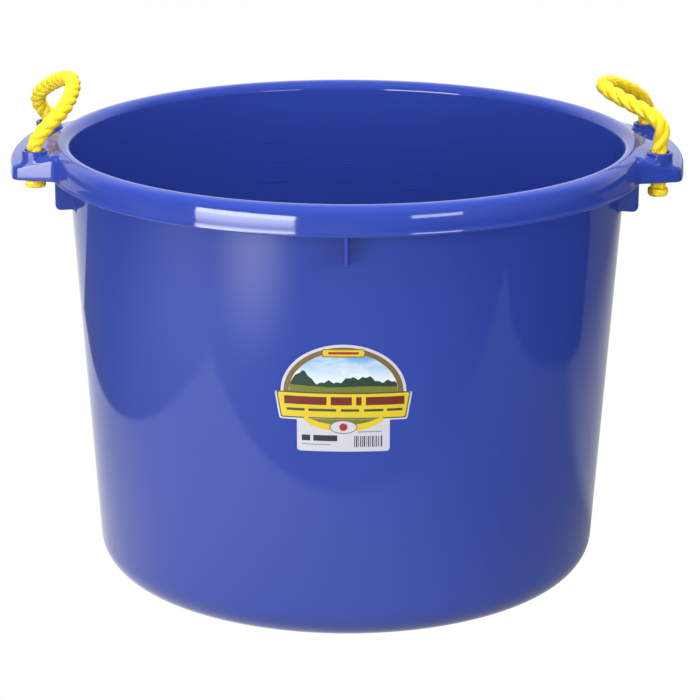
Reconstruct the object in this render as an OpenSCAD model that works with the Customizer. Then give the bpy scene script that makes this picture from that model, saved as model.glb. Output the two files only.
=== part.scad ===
// Feed bucket: a large round plastic tub with a rolled rim, two moulded ears and two rope handles.
// Origin at the centre of the base, +Z up, ears along X, label on the -Y side. Millimetres.

/* [Tub] */
// Height from the foot ring to the top of the rim
tub_h = 392.5; // [388:0.5:396]
// Outer radius of the wall where it would meet the ground
base_r = 223.6; // [222:0.2:225]
// How much the wall's radius grows for each millimetre of height
taper = 0.064; // [0.06:0.001:0.066]
// Wall thickness
wall = 4; // [3:0.5:4.5]
// Outer radius of the rounding between wall and base
base_round = 30; // [24:1:34]
// Depth of the recess under the base
foot_depth = 2; // [1:0.5:3]

/* [Rim] */
// Outer radius of the rim's skirt
rim_r = 264; // [263.5:0.5:265]
// Height of the skirt that hangs from the rim
skirt_h = 25; // [22:1:28]
// Thickness of the skirt
skirt_t = 3; // [2.5:0.5:3.5]
// Radius of the rounding from the rim's top into the inside wall
lip_round = 8.5; // [7.5:0.5:8.5]
// Radius of the rounding from the rim's top into the skirt
edge_round = 8.8; // [8:0.2:9]

/* [Ears] */
// Radius of the ears' outer face from the tub's axis
ear_r = 297.5; // [296:0.5:300]
// Width of each ear from front to back beside its rope collars
ear_w = 143.8; // [143.6:0.2:146]
// Angle by which each end of an ear narrows outwards
ear_taper = 13; // [8:0.5:14]
// How much an ear's top falls for each millimetre outwards
ear_slope = 0.3; // [0.26:0.01:0.3]
// Thickness of the ears' plates
ear_t = 3.2; // [2.5:0.1:4]
// Distance of the rope collars from the tub's axis plane
boss_x = 271.5; // [271:0.5:273]
// Distance of each rope collar in front of or behind the middle
boss_y = 60; // [58:1:61]
// Outer radius of a rope collar
boss_r = 11.4; // [10.8:0.2:11.8]
// Radius of the rope hole in a collar
hole_r = 8.3; // [8.2:0.1:8.6]

/* [Ribs] */
// Thickness of the stacking ribs under the rim
rib_t = 3; // [2:0.5:4]
// Height of a stacking rib below the skirt
rib_h = 27; // [20:1:28]
// Angle of the ribs beside the ears from the ears' middle
rib_angle = 15.5; // [15:0.5:18]

/* [Ropes] */
// Rope diameter
rope_d = 13.5; // [12:0.5:13.5]
// How far the left rope can drop: it stands pulled right up
left_travel = 3; // [1:0.5:3]
// How far the right rope can rise: it stands dropped
right_travel = 6; // [4:0.5:6]
// Diameter of the fused stop on each rope end
stop_d = 18.6; // [17.5:0.1:20]
// Height of each stop
stop_h = 7.4; // [6:0.2:9]

/* [Label] */
// Half width of the label's arch
arch_half_w = 52; // [48:1:54]
// Height of the label's lower edge above the ground
label_z = 177; // [170:1:185]
// Thickness of the label
label_t = 0.25; // [0.2:0.05:0.4]

/* [Hidden] */
$fn = 96;

plastic_blue = [0.20, 0.26, 0.62];
rope_yellow = [0.98, 0.86, 0.05];
label_white = [0.95, 0.95, 0.93];
over = 1;                      // how far a cutter runs past what it cuts

// Tub section
slant = sqrt(1 + taper * taper);
round_cx = base_r + taper * base_round - base_round * slant;
foot_r = round_cx - 10;        // radius of the recess under the base at ground level
recess_slope = 8;              // how far the recess takes to reach its full depth
wall_angle = -atan(taper);     // direction of the wall's outward normal
lip_flat_r = base_r + taper * (tub_h - lip_round) - wall + lip_round;
skirt_flare = 1;               // how much wider the skirt is at its bottom
flare_h = 5;
skirt_z = tub_h - skirt_h;
lip_under_z = tub_h - wall;
skirt_edge = skirt_t / 2;
bow_angle = 15;                // the skirt bows inwards up to this slope, then rolls over
bow_r = (skirt_h - flare_h - edge_round * (1 - sin(bow_angle))) / sin(bow_angle);
edge_cx = rim_r - bow_r * (1 - cos(bow_angle)) - edge_round * cos(bow_angle);

// Ear section
ear_tilt = atan(ear_slope);
ear_root_r = edge_cx + edge_round * sin(ear_tilt);     // the ear's top leaves the roll smoothly here
ear_root_z = tub_h - edge_round * (1 - cos(ear_tilt));
ear_foot_r = rim_r - skirt_t;  // the ear's walls start inside the skirt
ear_round = 4.5;
boss_top_z = tub_h + 0.5;

// Rib section
rib_out_r = rim_r - 1;
rib_in_r = base_r + taper * (skirt_z - rib_h) - wall / 4;
rib_corner = 5;
rib_fillet = 4;

// The tub is one moulding. Its solid is parted at this height, just below the ribs
part_z = skirt_z - rib_h - rib_fillet - 3.5;

// Ropes
rope_r = rope_d / 2;
rope_x = boss_x - 0.5;         // the ropes lie a little towards the tub in their holes
hinge_gap = 2;                 // hinge line above the collars when a rope is at its lowest
left_hinge_z = boss_top_z + hinge_gap + left_travel;
right_hinge_z = boss_top_z + hinge_gap;
joint_gap = 0.4;               // clearance between a leg's top and the loop's round end
left_stop_z = skirt_z;         // top face of the left stops: pulled up under the ears
right_stop_z = skirt_z - right_travel;
tube_sides = 10;
tube_step = 2;                 // rings for each stretch between two route points
end_rings = 2;
neck_r = 2.5;                  // a loop's ends are slimmer, where the real rope would bend
neck_len = 22;

// Route of each loop's centre line above its hinge line, from front to back: [inward, along Y, up]
left_route = [[0, -60, 0], [2.5, -60, 4], [6, -60, 9.5], [11.5, -57.5, 15.5], [17, -53, 20.5],
              [22, -47, 25.5], [26.5, -39, 31.5], [29.5, -27, 38], [30, -14, 43], [26, 0, 46],
              [16.5, 15, 42.5], [7.5, 28, 36.5], [-0.5, 38, 30], [-6.5, 47, 23], [-8.5, 53, 16.5],
              [-7.5, 57.5, 10], [-4, 60, 4.5], [0, 60, 0]];
right_route = [[0, -60, 0], [-1, -60, 6], [-2, -60.5, 12], [-1.5, -60, 18], [1.5, -58, 24.5],
               [8, -53, 29.5], [15.5, -45.5, 32.5], [23.5, -36, 35.5], [32, -25, 38.5], [40, -13, 41.5],
               [44.5, -2, 44], [42, 9, 44.5], [33, 18.5, 42], [23, 28, 37], [13.5, 38, 30.5],
               [6, 47, 23.5], [1, 54, 16], [-1, 59, 9], [-0.5, 60, 4], [0, 60, 0]];

// Label
label_x = -2.2;                // the label sits a little left of the middle
arch_h = 42.5;
banner_half_w = [53, 57];      // at the banner's bottom and top
banner_z = [27.7, 52];         // above the label's lower edge
panel_half_w = 38.5;
label_gap = 0.05;
arch_steps = 24;

// Outer radius of the wall at a height
function wall_r(z) = base_r + taper * z;

// Points along an arc, each [radius, height]
function arc(cx, cz, r, from, to, n) =
    [for (i = [0:n]) let (a = from + (to - from) * i / n) [cx + r * cos(a), cz + r * sin(a)]];

// Closed section of the base and the wall, up to where the solid is parted
module wall_section() {
    polygon(concat(
        [[0, foot_depth], [foot_r - recess_slope, foot_depth], [foot_r, 0]],
        arc(round_cx, base_round, base_round, -90, wall_angle, 12),
        [[wall_r(part_z), part_z], [wall_r(part_z) - wall * slant, part_z]],
        arc(round_cx, base_round, base_round - wall, wall_angle, -90, 12),
        [[foot_r, wall], [foot_r - recess_slope, wall + foot_depth], [0, wall + foot_depth]]));
}

// Closed section of the wall's top, the rim and its skirt
module rim_section() {
    polygon(concat(
        [[wall_r(part_z) - wall * slant, part_z], [wall_r(part_z), part_z],
         [wall_r(lip_under_z), lip_under_z]],
        arc(edge_cx, tub_h - edge_round, edge_round - wall, 90, bow_angle, 4),
        arc(rim_r + skirt_flare - skirt_edge, skirt_z + skirt_edge, skirt_edge, 180, 360, 8),
        arc(rim_r - bow_r, skirt_z + flare_h, bow_r, 0, bow_angle, 3),
        arc(edge_cx, tub_h - edge_round, edge_round, bow_angle + 9, 90, 7),
        arc(lip_flat_r, tub_h - lip_round, lip_round, 90, 180 + wall_angle, 8)));
}

// Height of an ear's top at a distance from the tub's axis
function ear_top(r) = ear_root_z - ear_slope * (r - ear_root_r);

// Section of the ear from the rim to its outer face; inset shrinks it for the hollow underneath
module ear_section(inset, floor_z) {
    out = ear_r - inset;
    edge = max(ear_round - inset, 0.5);
    root = inset > 0
        ? [[ear_foot_r, ear_top(ear_foot_r) - inset]]
        : [[ear_root_r - 0.4, ear_root_z - 0.2], [ear_foot_r, tub_h - 1.5 * wall]];
    polygon(concat(
        [[ear_foot_r, floor_z], [out, floor_z]],
        arc(out - edge, ear_top(out - edge) - inset - edge / cos(ear_tilt), edge, 0, 90 - ear_tilt, 6),
        root));
}

// Plan of an ear: a block on one side of the tub whose ends narrow outwards
module ear_plan(side, inset) {
    reach = (boss_x * sin(ear_taper) + ear_w / 2 * cos(ear_taper) - inset);
    near_x = 200;
    far_x = ear_r + over;
    near_y = (reach - near_x * sin(ear_taper)) / cos(ear_taper);
    far_y = (reach - far_x * sin(ear_taper)) / cos(ear_taper);
    scale([side, 1, 1])
        linear_extrude(tub_h + over)
            polygon([[near_x, -near_y], [far_x, -far_y], [far_x, far_y], [near_x, near_y]]);
}

// One ear: top plate, outer face, end walls and two collars. side is -1 for left, 1 for right
module ear(side) {
    intersection() {
        rotate_extrude() difference() {
            ear_section(0, skirt_z);
            ear_section(ear_t, skirt_z - over);
        }
        ear_plan(side, 0);
    }
    intersection() {
        rotate_extrude() ear_section(0, skirt_z);
        difference() {
            ear_plan(side, 0);
            ear_plan(side, ear_t);
        }
    }
    for (y_side = [-1, 1])
        translate([side * boss_x, y_side * boss_y, skirt_z])
            cylinder(h = boss_top_z - skirt_z, r = boss_r);
}

// One stacking rib under the rim, lying in the XZ plane
module rib() {
    low = skirt_z - rib_h;
    rotate([90, 0, 0])
        translate([0, 0, -rib_t / 2])
            linear_extrude(rib_t)
                polygon(concat(
                    [[rib_in_r, skirt_z + skirt_edge], [rib_in_r, low - rib_fillet]],
                    arc(wall_r(low) + rib_fillet, low - rib_fillet, rib_fillet, 180, 90, 5),
                    arc(rib_out_r - rib_corner, low + rib_corner, rib_corner, -90, 0, 6),
                    [[rib_out_r, skirt_z + skirt_edge]]));
}

// The tub's base and wall
module tub_wall() {
    color(plastic_blue) rotate_extrude() wall_section();
}

// The tub's rim with its skirt, ears, collars and ribs
module tub_rim() {
    color(plastic_blue) difference() {
        union() {
            rotate_extrude() rim_section();
            ear(-1);
            ear(1);
            for (half = [0, 180])
                for (a = [-rib_angle, rib_angle, 90])
                    rotate([0, 0, half + a]) rib();
        }
        for (side = [-1, 1])
            for (y_side = [-1, 1])
                translate([side * boss_x, y_side * boss_y, skirt_z - over])
                    cylinder(h = boss_top_z - skirt_z + 2 * over, r = hole_r);
    }
}

// Outline of the label seen from the front, in X and height above its lower edge
module label_outline() {
    polygon(concat(
        [[-panel_half_w, 0], [panel_half_w, 0], [panel_half_w, banner_z[0]],
         [banner_half_w[0], banner_z[0]], [banner_half_w[1], banner_z[1]]],
        [for (i = [0:arch_steps]) let (a = 180 * i / arch_steps)
            [arch_half_w * cos(a), banner_z[1] + arch_h * sin(a)]],
        [[-banner_half_w[1], banner_z[1]], [-banner_half_w[0], banner_z[0]],
         [-panel_half_w, banner_z[0]]]));
}

module label() {
    low = label_z - over;
    high = label_z + banner_z[1] + arch_h + over;
    color(label_white) intersection() {
        rotate_extrude()
            polygon([[wall_r(low) + label_gap, low], [wall_r(low) + label_gap + label_t, low],
                     [wall_r(high) + label_gap + label_t, high], [wall_r(high) + label_gap, high]]);
        translate([label_x, 0, label_z])
            rotate([90, 0, 0])
                linear_extrude(rim_r)
                    label_outline();
    }
}

// Catmull-Rom point between b and c
function spline(a, b, c, d, t) =
    0.5 * (2 * b + (c - a) * t + (2 * a - 5 * b + 4 * c - d) * t * t
           + (3 * b - a - 3 * c + d) * t * t * t);

// The route with points added between its own
function smooth(p) = concat(
    [for (i = [0:len(p) - 2]) for (k = [0:tube_step - 1])
        spline(p[max(i - 1, 0)], p[i], p[i + 1], p[min(i + 2, len(p) - 1)], k / tube_step)],
    [p[len(p) - 1]]);

function unit(v) = v / norm(v);
function direction(p, i) = unit(p[min(i + 1, len(p) - 1)] - p[max(i - 1, 0)]);

// A sideways direction carried along the line, so that the rings don't twist
function carried(p, i) = i == 0
    ? unit(cross(direction(p, 0), [0, 1, 0]))
    : let (d = direction(p, i), s = carried(p, i - 1)) unit(s - d * (s * d));

// One ring of a tube round a point
function ring(c, d, s, r) =
    [for (k = [0:tube_sides - 1]) let (a = 360 * k / tube_sides)
        c + r * (cos(a) * s + sin(a) * cross(d, s))];

// The loop's radius at a point: slim at both ends and full from neck_len on
function loop_r(p, i) =
    let (far = min(norm(p[i] - p[0]), norm(p[i] - p[len(p) - 1])))
        neck_r + (rope_r - neck_r) * min(1, far / neck_len);

// A tube with round ends along a route
module tube(route) {
    p = smooth(route);
    n = len(p);
    first = direction(p, 0);
    last = direction(p, n - 1);
    end_angle = 80;            // how far round each end's last ring is
    rings = concat(
        [for (k = [end_rings:-1:1]) let (a = end_angle * k / end_rings)
            ring(p[0] - first * neck_r * sin(a), first, carried(p, 0), neck_r * cos(a))],
        [for (i = [0:n - 1]) ring(p[i], direction(p, i), carried(p, i), loop_r(p, i))],
        [for (k = [1:end_rings]) let (a = end_angle * k / end_rings)
            ring(p[n - 1] + last * neck_r * sin(a), last, carried(p, n - 1), neck_r * cos(a))]);
    total = len(rings);
    points = [for (r = rings) for (v = r) v];
    sides = [for (i = [0:total - 2]) for (k = [0:tube_sides - 1])
        let (b = i * tube_sides, m = (k + 1) % tube_sides)
            for (f = [[b + k, b + m, b + tube_sides + m], [b + k, b + tube_sides + m, b + tube_sides + k]]) f];
    start = [for (k = [tube_sides - 1:-1:0]) k];
    finish = [for (k = [0:tube_sides - 1]) (total - 1) * tube_sides + k];
    polyhedron(points, concat([start], sides, [finish]));
}

// The part of a rope that stands above its collars
module rope_loop(side, hinge_z, route) {
    color(rope_yellow)
        tube([for (q = route) [side * (rope_x - q[0]), q[1], hinge_z + q[2]]]);
}

// The straight part of a rope that passes through a collar
module leg(side, y_side, stop_z, hinge_z) {
    color(rope_yellow)
        translate([side * rope_x, y_side * boss_y, stop_z])
            cylinder(h = hinge_z - neck_r - joint_gap - stop_z, r = rope_r);
}

// The fused stop on a rope's end, below the ear
module stop(side, y_side, stop_z) {
    head_r = stop_d / 2;
    lip = 1.6;
    crown = 2.6;
    color(rope_yellow)
        translate([side * rope_x, y_side * boss_y, stop_z - stop_h])
            rotate_extrude()
                polygon(concat(
                    [[0, 0]],
                    arc(head_r - crown - 0.4, crown, crown, -90, -10, 5),
                    arc(head_r - lip, stop_h - lip, lip, 0, 90, 4),
                    [[0, stop_h]]));
}

module left_rope_loop() { rope_loop(-1, left_hinge_z, left_route); }
module left_front_leg() { leg(-1, -1, left_stop_z, left_hinge_z); }
module left_back_leg() { leg(-1, 1, left_stop_z, left_hinge_z); }
module left_front_stop() { stop(-1, -1, left_stop_z); }
module left_back_stop() { stop(-1, 1, left_stop_z); }
module right_rope_loop() { rope_loop(1, right_hinge_z, right_route); }
module right_front_leg() { leg(1, -1, right_stop_z, right_hinge_z); }
module right_back_leg() { leg(1, 1, right_stop_z, right_hinge_z); }
module right_front_stop() { stop(1, -1, right_stop_z); }
module right_back_stop() { stop(1, 1, right_stop_z); }

tub_wall();
tub_rim();
label();
left_rope_loop();
left_front_leg();
left_back_leg();
left_front_stop();
left_back_stop();
right_rope_loop();
right_front_leg();
right_back_leg();
right_front_stop();
right_back_stop();
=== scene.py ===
import math

import bmesh
import bpy
import numpy as np
from mathutils import Matrix, Vector
from mathutils.geometry import delaunay_2d_cdt


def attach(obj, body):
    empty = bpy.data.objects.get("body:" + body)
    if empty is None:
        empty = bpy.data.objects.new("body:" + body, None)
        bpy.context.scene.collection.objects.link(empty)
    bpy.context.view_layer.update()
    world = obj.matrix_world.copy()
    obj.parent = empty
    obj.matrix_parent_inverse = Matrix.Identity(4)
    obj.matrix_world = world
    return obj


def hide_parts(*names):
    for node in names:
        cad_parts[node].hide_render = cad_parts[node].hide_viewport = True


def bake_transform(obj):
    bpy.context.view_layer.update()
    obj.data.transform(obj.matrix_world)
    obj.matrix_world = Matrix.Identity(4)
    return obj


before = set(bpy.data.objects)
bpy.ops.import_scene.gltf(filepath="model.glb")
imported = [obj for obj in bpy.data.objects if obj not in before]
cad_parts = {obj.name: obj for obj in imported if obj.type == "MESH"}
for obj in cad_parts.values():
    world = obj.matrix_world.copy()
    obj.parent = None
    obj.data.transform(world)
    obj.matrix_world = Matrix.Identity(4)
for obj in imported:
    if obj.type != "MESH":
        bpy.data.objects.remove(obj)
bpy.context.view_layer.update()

MM = 0.001

# Camera: a long lens, in millimetres, and its place in metres
LENS = 144.51
SENSOR = 36
CAMERA_TILT = math.radians(16.844)
CAMERA_ROLL = math.radians(0.18)
CAMERA_AT = (0.0031, -2.4452, 0.9343)

# The tub's section and rim in millimetres: the CAD's, but for a lighter flare at the skirt's edge
TUB_H = 392.5
BASE_R = 223.6
TAPER = 0.064
WALL = 4.0
BASE_ROUND = 30.0
FOOT_DEPTH = 2.0
RIM_R = 264.0
SKIRT_H = 25.0
SKIRT_T = 3.0
SKIRT_FLARE = 0.6
LIP_ROUND = 8.5
EDGE_ROUND = 8.8
FLARE_H = 5.0
BOW_ANGLE = 15.0
SKIRT_Z = TUB_H - SKIRT_H
SLANT = math.sqrt(1 + TAPER * TAPER)
WALL_ANGLE = -math.degrees(math.atan(TAPER))
ROUND_CX = BASE_R + TAPER * BASE_ROUND - BASE_ROUND * SLANT
FOOT_R = ROUND_CX - 10
FLANGE_Z = TUB_H - WALL
BOW_SIN, BOW_COS = math.sin(math.radians(BOW_ANGLE)), math.cos(math.radians(BOW_ANGLE))
BOW_R = (SKIRT_H - FLARE_H - EDGE_ROUND * (1 - BOW_SIN)) / BOW_SIN
BOW_Z = SKIRT_Z + FLARE_H
EDGE_CX = RIM_R - BOW_R * (1 - BOW_COS) - EDGE_ROUND * BOW_COS
EDGE_CZ = TUB_H - EDGE_ROUND

# Ears and their rope collars
EAR_R = 297.5
EAR_HALF_W = 71.9
EAR_TAPER = math.radians(13)
EAR_TILT = math.atan(0.3)
EAR_ROOT_R = EDGE_CX + EDGE_ROUND * math.sin(EAR_TILT)
EAR_ROOT_Z = TUB_H - EDGE_ROUND * (1 - math.cos(EAR_TILT))
EAR_ROUND = 4.5
EAR_T = 3.2
EAR_CORNER = 8.0
EAR_FILLET = 8.0
EAR_DRAFT = 0.07
BOSS_X = 271.5
BOSS_Y = 60.0
BOSS_R = 11.4
HOLE_R = 8.3
BOSS_TOP_Z = 393.0
BOSS_LIP = 1.1
BOSS_FILLET = 3.0

# Stacking ribs, 1 mm shorter than the CAD's
RIB_T = 3.0
RIB_H = 26.0
RIB_ANGLES = (-15.5, 15.5, 90.0, 164.5, 195.5, 270.0)

# Graduation lines on the inside of the back wall
TICK_COLUMNS = (-66, 2, 74)
TICK_ROWS = 14
TICK_TOP_Z = 335
TICK_PITCH = 19
TICK_SKEW = 4
TICK_SHORT = 13
TICK_LONG = 25
TICK_T = 0.9
TICK_PROUD = 0.35

# Ropes: three strands, each with a ring of yarns; the lays are the lengths of one full twist
ROPE_X = 271.0
ROPE_Y = 60.0
STRAND_R = 4.05
STRAND_OFFSET = 2.85
YARNS = 6
YARN_LAY = 34
YARN_DEPTH = 0.03
ROPE_STEP = 0.8
STOP_D = 18.6
STOP_H = 7.4
LEFT_HINGE_Z = 398.0
RIGHT_HINGE_Z = 395.0
LEFT_STOP_Z = 367.5
RIGHT_STOP_Z = 361.5
LEFT_LENGTH = 0.25
RIGHT_LENGTH = 0.27
LEFT_LAY = 28
RIGHT_LAY = 46
LEFT_TURN = 0.4
RIGHT_TURN = 2.2
# The loops' routes, as (inwards, along the ear, above the hinge line)
LEFT_ROUTE = [
    (0, -60, 0), (2.5, -60, 4), (6, -60, 9.5), (11.5, -57.5, 15.5), (17, -53, 20.5),
    (22, -47, 25.5), (26.5, -39, 31.5), (29.5, -27, 38), (30, -14, 43), (26, 0, 46),
    (16.5, 15, 42.5), (7.5, 28, 36.5), (-0.5, 38, 30), (-6.5, 47, 23), (-8.5, 53, 16.5),
    (-7.5, 57.5, 10), (-4, 60, 4.5), (0, 60, 0)]
RIGHT_ROUTE = [
    (0, -60, 0), (-1, -60, 6), (-2, -60.5, 12), (-1.5, -60, 18), (1.5, -58, 24.5),
    (8, -53, 29.5), (15.5, -45.5, 32.5), (23.5, -36, 35.5), (32, -25, 38.5), (40, -13, 41.5),
    (44.5, -2, 44), (42, 9, 44.5), (33, 18.5, 42), (23, 28, 37), (13.5, 38, 30.5),
    (6, 47, 23.5), (1, 54, 16), (-1, 59, 9), (-0.5, 60, 4), (0, 60, 0)]

# Label, drawn flat from the middle of its lower edge
LABEL_X = -2.2
LABEL_Z = 177.0
ARCH_HALF_W = 52.0
ARCH_H = 42.5
BANNER_Z = (27.7, 52.0)
BANNER_HALF_W = (53.0, 57.0)
PANEL_HALF_W = 38.5
LABEL_GAP = 0.05
LABEL_T = 0.25
BORDER = (49.6, 40.0)
STITCHES = 64
STITCH_OUTER = (48.6, 39.0)
STITCH_INNER = (46.4, 37.0)
PICTURE_W, PICTURE_H = 45.2, 35.8
WORD_BARS = ((-49, -14), (-10.5, 7), (10.5, 15), (18.5, 50.5))
WORD_Z = (41.2, 48.4)
SMALL_BARS = ((-47, -32), (-29, -6), (-2, 13), (17, 33), (36, 49))
SMALL_Z = (35.6, 37.8)
MEDALLION_Z = 21.8
STRIPE_Z = (4.0, 14.0)


# ---------------------------------------------------------------- camera
def new_object(name, data):
    """A new object, linked to the scene."""
    made = bpy.data.objects.new(name, data)
    bpy.context.scene.collection.objects.link(made)
    return made


def add_camera():
    """A long lens a little above the tub, level but for a slight roll."""
    camera = new_object("camera", bpy.data.cameras.new("camera"))
    camera.data.lens = LENS
    camera.data.sensor_width = SENSOR
    side = Vector((1, 0, 0))
    rise = Vector((0, math.sin(CAMERA_TILT), math.cos(CAMERA_TILT)))
    across = side * math.cos(CAMERA_ROLL) + rise * math.sin(CAMERA_ROLL)
    up = rise * math.cos(CAMERA_ROLL) - side * math.sin(CAMERA_ROLL)
    turn = Matrix((across, up, across.cross(up))).transposed()
    camera.matrix_world = Matrix.Translation(CAMERA_AT) @ turn.to_4x4()
    bpy.context.scene.camera = camera
    bpy.context.scene.view_settings.view_transform = "Standard"


# ---------------------------------------------------------------- mesh tools
def arc(cx, cz, r, start, end, steps):
    """Points on an arc, each (radius, height)."""
    angles = [math.radians(start + (end - start) * i / steps) for i in range(steps + 1)]
    return [(cx + r * math.cos(a), cz + r * math.sin(a)) for a in angles]


def between(a, b, rows, guard=0.8):
    """Points between two ends, with one close to each end to keep the shading crisp."""
    length = math.dist(a, b)
    near = min(guard / length, 0.3)
    steps = [near] + [near + (1 - 2 * near) * i / rows for i in range(1, rows)] + [1 - near]
    return [tuple(p + (q - p) * t for p, q in zip(a, b)) for t in steps]


def polyline(*parts, rows=2):
    """Joins arcs and single points into one outline, with rows of points between them."""
    out = list(parts[0])
    for part in parts[1:]:
        out += between(out[-1], part[0], rows) if math.dist(out[-1], part[0]) > 3 else []
        out += part
    return out


class Shape:
    """Vertices and faces gathered from several closed shells."""

    def __init__(self):
        self.points = []
        self.faces = []

    def add(self, points, faces):
        """Adds one shell, its faces given by its own points' numbers."""
        base = len(self.points)
        self.points += [tuple(p) for p in points]
        self.faces += [tuple(base + i for i in face) for face in faces]

    def grid(self, rings, closed_rows=True, closed_ring=True, cap=False):
        """Skins a list of equal rings; each ring is one row of points."""
        count = len(rings)
        width = len(rings[0])
        faces = []
        for i in range(count if closed_rows else count - 1):
            a = i * width
            b = (i + 1) % count * width
            for k in range(width if closed_ring else width - 1):
                n = (k + 1) % width
                faces.append((a + k, a + n, b + n, b + k))
        if cap:
            faces.append(tuple(range(width - 1, -1, -1)))
            faces.append(tuple((count - 1) * width + k for k in range(width)))
        self.add([p for ring in rings for p in ring], faces)

    def lathe(self, profile, segments, centre=(0, 0)):
        """Turns an open profile round Z; a point on the axis becomes a pole."""
        points = []
        rows = []
        for r, z in profile:
            if r < 1e-6:
                rows.append([len(points)] * segments)
                points.append((centre[0], centre[1], z))
                continue
            rows.append([len(points) + k for k in range(segments)])
            for k in range(segments):
                a = 2 * math.pi * k / segments
                points.append((centre[0] + r * math.cos(a), centre[1] + r * math.sin(a), z))
        faces = []
        for low, high in zip(rows, rows[1:] + rows[:1]):
            if low[0] == low[1] and high[0] == high[1]:
                continue
            for k in range(segments):
                n = (k + 1) % segments
                face = (low[k], low[n], high[n], high[k])
                faces.append(tuple(dict.fromkeys(face)))
        self.add(points, faces)

    def object(self, name, sharp=50):
        """Makes the mesh object, in metres, with faces turned outwards."""
        mesh = bpy.data.meshes.new(name)
        mesh.from_pydata([[c * MM for c in p] for p in self.points], [], self.faces)
        turned = bmesh.new()
        turned.from_mesh(mesh)
        bmesh.ops.recalc_face_normals(turned, faces=turned.faces)
        turned.to_mesh(mesh)
        turned.free()
        mesh.shade_smooth()
        mesh.set_sharp_from_angle(angle=math.radians(sharp))
        return new_object(name, mesh)


def place(piece, body, slot, material, *nodes):
    """Gives a piece its body and finish, and hides the CAD nodes it stands for; its slot is not used."""
    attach(piece, body)
    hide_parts(*nodes)
    if material:
        piece.data.materials.append(material)


# ---------------------------------------------------------------- materials
class Nodes:
    """A node tree to which nodes are added one call at a time."""

    def __init__(self, tree):
        self.tree = tree

    def node(self, kind, inputs=(), **settings):
        """A new node; an input is either a plain value or another node's output."""
        made = self.tree.nodes.new(kind)
        for key, value in settings.items():
            setattr(made, key, value)
        for key, value in dict(inputs).items():
            if isinstance(value, bpy.types.NodeSocket):
                self.tree.links.new(value, made.inputs[key])
            else:
                made.inputs[key].default_value = value
        return made

    def math(self, how, a, b):
        """The sum, product or other result of two values."""
        return self.node("ShaderNodeMath", {0: a, 1: b}, operation=how).outputs[0]

    def fade(self, value, start, end, at_start, at_end):
        """A smooth change between two levels over a stretch of a value."""
        made = self.node("ShaderNodeMapRange", {
            "Value": value, "From Min": start, "From Max": end, "To Min": at_start, "To Max": at_end},
            interpolation_type="SMOOTHSTEP")
        return made.outputs["Result"]

    def split(self, where):
        """The three parts of a place, by name."""
        return self.node("ShaderNodeSeparateXYZ", {"Vector": where}).outputs


class Finish(Nodes):
    """A Principled material."""

    def __init__(self, name, **sockets):
        self.material = bpy.data.materials.new(name)
        self.material.use_nodes = True
        super().__init__(self.material.node_tree)
        self.shader = self.tree.nodes["Principled BSDF"]
        for socket, value in sockets.items():
            self.shader.inputs[socket.replace("_", " ")].default_value = value

    def place(self, stretch=(1, 1, 1), source="Object"):
        """The place on the piece, stretched to draw a pattern out."""
        where = self.node("ShaderNodeTexCoord").outputs[source]
        return self.node("ShaderNodeMapping", {"Vector": where, "Scale": stretch}).outputs[0]

    def noise(self, where, scale, detail=2.0, rough=0.5):
        """Cloudy noise."""
        return self.node("ShaderNodeTexNoise", {
            "Vector": where, "Scale": scale, "Detail": detail, "Roughness": rough}).outputs["Fac"]

    def ramp(self, value, *stops):
        """A colour for each value, from stops of (value, colour)."""
        made = self.node("ShaderNodeValToRGB", {"Fac": value})
        elements = made.color_ramp.elements
        while len(elements) < len(stops):
            elements.new(0.5)
        for element, (at, colour) in zip(elements, stops):
            element.position = at
            element.color = colour
        return made.outputs["Color"]

    def span(self, value, low, high, to_low, to_high):
        """A straight change between two levels over a stretch of a value."""
        return self.node("ShaderNodeMapRange", {
            "Value": value, "From Min": low, "From Max": high,
            "To Min": to_low, "To Max": to_high}).outputs["Result"]

    def bump(self, height, distance, normal=None):
        """Fine relief, laid over another one if that is given."""
        inputs = {"Height": height, "Distance": distance, "Strength": 1.0}
        if normal is not None:
            inputs["Normal"] = normal
        return self.node("ShaderNodeBump", inputs).outputs["Normal"]

    def to(self, socket, value):
        """Feeds a value to one of the shader's sockets."""
        self.tree.links.new(value, self.shader.inputs[socket])


def tub_finish():
    """Glossy moulded polyethylene: faint flow marks, fine texture, scuffs at the foot."""
    f = Finish("tub_blue", IOR=1.5)
    where = f.place()
    flow = f.noise(f.place((1, 1, 0.35)), 5, 3)
    f.to("Base Color", f.ramp(flow, (0.3, (0.023, 0.048, 0.298, 1)), (0.7, (0.025, 0.051, 0.318, 1))))
    low = f.span(f.split(where)["Z"], 0.0, 0.035, 1, 0)
    streaks = f.span(f.noise(f.place((3, 3, 60)), 9, 4, 0.6), 0.62, 0.72, 0, 1)
    scuff = f.math("MULTIPLY", streaks, low)
    gloss = f.span(f.noise(where, 28, 3), 0.3, 0.7, 0.05, 0.085)
    f.to("Roughness", f.math("ADD", gloss, f.math("MULTIPLY", scuff, 0.22)))
    waves = f.bump(f.noise(where, 7, 1), 0.00035)
    f.to("Normal", f.bump(f.noise(where, 900, 2), 0.000004, waves))
    return f.material


def rope_finish():
    """Polypropylene fibre: fine threads along each strand, and darker threads here and there."""
    f = Finish("rope_yellow", Roughness=0.42, IOR=1.49, Subsurface_Weight=0.12,
               Subsurface_Scale=0.002, Subsurface_Radius=(1.0, 0.7, 0.1))
    threads = f.noise(f.place((60, 1.4, 1), "UV"), 3, 4, 0.7)
    f.to("Base Color", f.ramp(threads, (0.25, (0.68, 0.44, 0.003, 1)), (0.5, (0.80, 0.58, 0.005, 1)),
                              (0.8, (0.84, 0.67, 0.010, 1))))
    f.to("Normal", f.bump(threads, 0.0001))
    return f.material


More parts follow.
